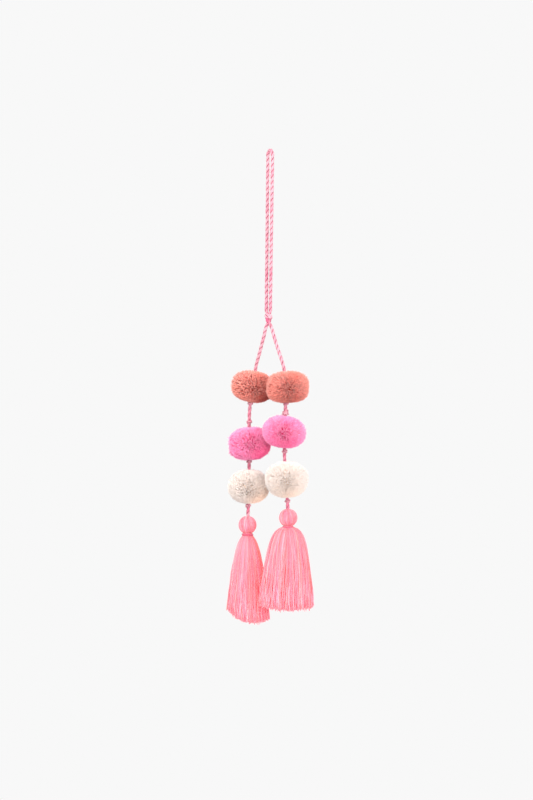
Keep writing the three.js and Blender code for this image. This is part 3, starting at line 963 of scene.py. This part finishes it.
def add_core(build, half, shape, tint):
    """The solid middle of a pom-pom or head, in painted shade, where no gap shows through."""
    rows = 17
    sides = 28
    theta = np.linspace(0, math.pi, rows + 2)[1:-1]
    phi = TAU * np.arange(sides) / sides
    grid = np.stack([
        np.sin(theta)[:, None] * np.cos(phi), np.sin(theta)[:, None] * np.sin(phi),
        np.cos(theta)[:, None] * np.ones(sides),
    ], axis=-1).reshape(-1, 3)
    poles = np.array([[0, 0, 1.0], [0, 0, -1.0]])
    points = placed(np.vstack([grid, poles]) * half, shape)
    faces = []
    for row in range(rows - 1):
        for side in range(sides):
            a = row * sides + side
            b = row * sides + (side + 1) % sides
            faces += [(a, a + sides, b + sides), (a, b + sides, b)]
    top = rows * sides
    bottom = top + 1
    last = (rows - 1) * sides
    for side in range(sides):
        after = (side + 1) % sides
        faces.append((top, side, after))
        faces.append((bottom, last + after, last + side))
    build.shell(points, np.array(faces), tint)


# ---- tassels

def thread_tints(rng, order, rings, light):
    """Colours of threads laid side by side at the angles in order, each over its rings. Neighbours are
    alike, and each thread shifts between two shades. light above 0 is lighter."""
    count = len(order)
    drift = np.sin(order * 3 + 0.7) * 0.9 + np.sin(order * 7 + 2) * 0.7
    pick = rng.choice(len(THREAD_SHADES), count, p=THREAD_SHARES)
    neighbour = np.where(drift > 0.55, 3, np.where(drift < -0.75, 2, 0))
    pick = np.where(rng.random(count) < 0.35, neighbour, pick)
    other = rng.choice(len(THREAD_SHADES), count, p=THREAD_SHARES)
    along = np.linspace(0, 1, rings)
    pace = rng.uniform(2, 7, (count, 1))
    wave = np.sin(along[None] * pace + rng.uniform(0, TAU, (count, 1)))
    mixed = (0.55 * (0.5 + 0.5 * wave))[..., None]
    tints = THREAD_SHADES[pick][:, None] * (1 - mixed) + THREAD_SHADES[other][:, None] * mixed
    value = rng.normal(1, 0.06, (count, 1, 1))
    return np.minimum(tints * value * (1 + light[..., None]), THREAD_BRIGHTEST)


def add_head(side, rng):
    """A tassel's head: threads drawn over a ball from its top to the neck."""
    strand = STRANDS[side]
    axis_x, axis_y = strand["sway_hinge"][:2]
    top_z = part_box(f"{side}_tassel_head")[1][2]
    ball_z = (top_z + strand["neck_z"]) / 2 + 0.6 * MM
    slope = np.radians(np.linspace(*HEAD_SPAN, HEAD_RINGS - HEAD_NECK_RINGS))
    ball_end = ball_z + HEAD_HALF_HEIGHT * math.sin(slope[-1])
    neck_z = ball_end - np.linspace(0.6, 3.2, HEAD_NECK_RINGS) * MM
    profile_z = np.concatenate([ball_z + HEAD_HALF_HEIGHT * np.sin(slope), neck_z])
    neck_radius = np.full(HEAD_NECK_RINGS, HEAD_NECK_RADIUS)
    t = np.linspace(0, 1, HEAD_RINGS)
    build = Build()
    for count, lift, thickest, slant in HEAD_LAYERS:
        profile_r = np.concatenate([(HEAD_RADIUS + lift * MM) * np.cos(slope), neck_radius])
        profile_r = np.maximum(profile_r, 1.25 * MM)
        start = TAU * (np.arange(count) + rng.uniform(-0.35, 0.35, count)) / count
        lean = slant * rng.uniform(0.5, 1.3, (count, 1)) * (t - 0.5)
        angle = start[:, None] + lean + 0.05 * np.sin(t * 5 + start[:, None] * 3)
        bulge = 1 + rng.normal(0, 0.012, (count, 1))
        x = axis_x + profile_r * bulge * np.cos(angle)
        y = axis_y + profile_r * bulge * np.sin(angle)
        centres = np.stack([x, y, np.broadcast_to(profile_z, x.shape)], axis=-1)
        crowd = np.clip(TAU * profile_r / count * 0.66, 0.15 * MM, thickest * MM)
        radii = crowd * rng.uniform(0.88, 1.1, (count, 1))
        # Painted shade: the threads darken towards the neck, under the ball.
        light = 0.06 * np.ones((count, 1)) - 0.34 * smooth((t[None] - 0.62) * 2.6)
        tints = thread_tints(rng, start, HEAD_RINGS, light) * HEAD_TONE
        tints = tints * rng.choice([1, 0.72], (count, 1, 1), p=[0.86, 0.14])
        build.tubes(centres, radii, tints, 8, reference=(0.9, 0.43, 0.05))
    ball = {"tilt": 0, "lean": 0, "middle": (axis_x / MM, axis_y / MM, ball_z / MM)}
    add_core(build, np.full(3, HEAD_CORE_RADIUS), ball, HEAD_CORE_SHADE)
    node = f"{side}_tassel_head"
    piece = finish_piece(build, f"{side}_tassel_ball", THREAD_MATERIAL, node)
    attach(piece, f"{side}_tassel")


def add_binding(side, rng):
    """The thread wound round the tassel's neck."""
    strand = STRANDS[side]
    axis_x, axis_y = strand["sway_hinge"][:2]
    t = np.linspace(0, 1, BINDING_RINGS)
    angle = TAU * BINDING_TURNS * t
    tucked = 0.5 * MM * (1 - smooth(np.minimum(t, 1 - t) * 14))
    radius = (4.3 + 0.12 * np.sin(angle * 0.7)) * MM - tucked
    z = strand["neck_z"] + (1.0 - 2.0 * t) * BINDING_HALF_HEIGHT
    line = np.stack([axis_x + radius * np.cos(angle), axis_y + radius * np.sin(angle), z], axis=-1)
    tint = np.broadcast_to(BINDING_TINT, (1, BINDING_RINGS, 3))
    tint = tint * rng.uniform(0.9, 1.1, (1, BINDING_RINGS, 1))
    build = Build()
    radii = np.full((1, BINDING_RINGS), BINDING_THREAD)
    build.tubes(line[None], radii, tint, 8, reference=(0, 0, 1))
    node = f"{side}_neck_wrap"
    piece = finish_piece(build, f"{side}_neck_binding", BINDING_MATERIAL, node)
    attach(piece, f"{side}_tassel")


def hem_heights(skirt, end_x, rng):
    """How high the threads end: on the hem's line, a little ragged, and a few of them well off it."""
    count = len(end_x)
    curve = skirt["rise"] * (end_x / skirt["half_width"]) ** 2
    height = skirt["hem"][2] + skirt["slope"] * end_x + curve
    ragged = rng.normal(0, 0.9, count) * MM
    odd = rng.random(count) < 0.12
    return height + ragged + odd * rng.uniform(-1, 4.5, count) * MM


def bell(half, u, flare):
    """The skirt's half size at the depth u, from the neck's radius to half at the hem."""
    return (NECK_RADIUS ** 4 + (half * u ** flare) ** 4) ** 0.25


def add_skirt(side, rng):
    """A tassel's skirt: layers of threads that hang from the neck, gathered here and there in locks."""
    strand = STRANDS[side]
    skirt = SKIRTS[side]
    neck = np.array([*strand["sway_hinge"][:2], strand["neck_z"] - 0.2 * MM])
    hem = np.array(skirt["hem"])
    locks = rng.uniform(0, TAU, SKIRT_LOCKS)
    t = np.linspace(0, 1, SKIRT_RINGS) ** 1.6
    build = Build()
    for count, inner, outer, layer_shade in SKIRT_LAYERS:
        angle = TAU * (np.arange(count) + rng.uniform(-0.45, 0.45, count)) / count
        share = rng.uniform(inner, outer, count)
        gap = (locks[None] - angle[:, None] + math.pi) % TAU - math.pi
        nearest = gap[np.arange(count), np.abs(gap).argmin(1)]
        pull = rng.uniform(0.0, 0.28, count) * nearest
        hem_z = hem_heights(skirt, skirt["half_width"] * share * np.cos(angle), rng)
        drop = (neck[2] + NECK_CLIMB - hem_z)[:, None] * t
        u = np.clip((drop - NECK_CLIMB) / (neck[2] - hem[2]), 0, 1.1)
        wave = rng.uniform(3, 9, (2, count, 1)) * t + rng.uniform(0, TAU, (2, count, 1))
        sway = rng.uniform(0.2, 1.0, (2, count, 1)) * np.sin(wave) * (0.2 + 0.8 * t) * 1.1 * MM
        pace = rng.uniform(4, 11, (count, 1))
        weave = 0.05 * np.sin(t * pace + rng.uniform(0, TAU, (count, 1))) * t
        turn = angle[:, None] + pull[:, None] * smooth(t * 1.4) * 0.8 + weave
        bell_x = bell(skirt["half_width"], u, skirt["flare"]) * share[:, None]
        bell_y = bell(skirt["half_depth"], u, skirt["flare"]) * share[:, None]
        x = neck[0] + (hem[0] - neck[0]) * u + bell_x * np.cos(turn) + sway[0]
        y = neck[1] + bell_y * np.sin(turn) + sway[1] * 0.6
        centres = np.stack([x, y, neck[2] + NECK_CLIMB - drop], axis=-1)
        thick = rng.uniform(0.22, 0.35, (count, 1)) * MM
        radii = thick * (1 - 0.12 * t) * (0.72 + 0.28 * smooth(u * 9))
        # Painted light on the left and towards the hem, and painted shade under the neck.
        left_light = 0.10 * np.clip(-np.cos(angle), 0, 1)[:, None]
        light = 0.22 * smooth((t - 0.4) * 1.7)[None] + left_light - 0.16 * (1 - smooth(u * 7))
        tints = thread_tints(rng, angle, SKIRT_RINGS, light + layer_shade)
        build.tubes(centres, radii, tints, 5, reference=(0.93, 0.36, 0.02), tip=0.35)
    node = f"{side}_tassel_skirt"
    piece = finish_piece(build, f"{side}_tassel_threads", THREAD_MATERIAL, node)
    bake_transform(piece)


# ---- hidden CAD pieces

def dress_hidden():
    """The ties in the pom-poms and the knotted cord ends in the heads stay as the CAD has them."""
    for node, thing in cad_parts.items():
        if thing.hide_render:
            continue
        colour = TIE_TINT if node.endswith("_tie") else END_KNOT_TINT
        material, tree = new_material(f"{node}_fibre")
        surface = tree.nodes["Principled BSDF"]
        surface.inputs["Roughness"].default_value = 0.85
        wave = new_node(tree, "TexWave", {"Scale": 900, "Distortion": 3})
        ramp = new_node(tree, "ValToRGB")
        ramp.color_ramp.elements[0].color = (*(colour * 0.5), 1)
        ramp.color_ramp.elements[1].color = (*colour, 1)
        tree.links.new(wave.outputs["Fac"], ramp.inputs["Fac"])
        tree.links.new(ramp.outputs["Color"], surface.inputs["Base Color"])
        thing.data.materials.clear()
        thing.data.materials.append(material)


for number, side in enumerate(SIDES):
    add_loop(side, seeded("loop", number))
    add_strand_cord(side, seeded("strand", number))
add_loop_knot(seeded("loop_knot"))
for number, (node, (body, radius, height)) in enumerate(STOP_KNOTS.items()):
    add_stop_knot(node, body, radius, height, seeded("stop_knot", number))
for number, (side, shade) in enumerate(itertools.product(SIDES, YARNS)):
    add_pompom(side, shade, seeded("pompom", number))
for number, side in enumerate(SIDES):
    add_head(side, seeded("head", number))
    add_binding(side, seeded("binding", number))
    add_skirt(side, seeded("skirt", number))
dress_hidden()
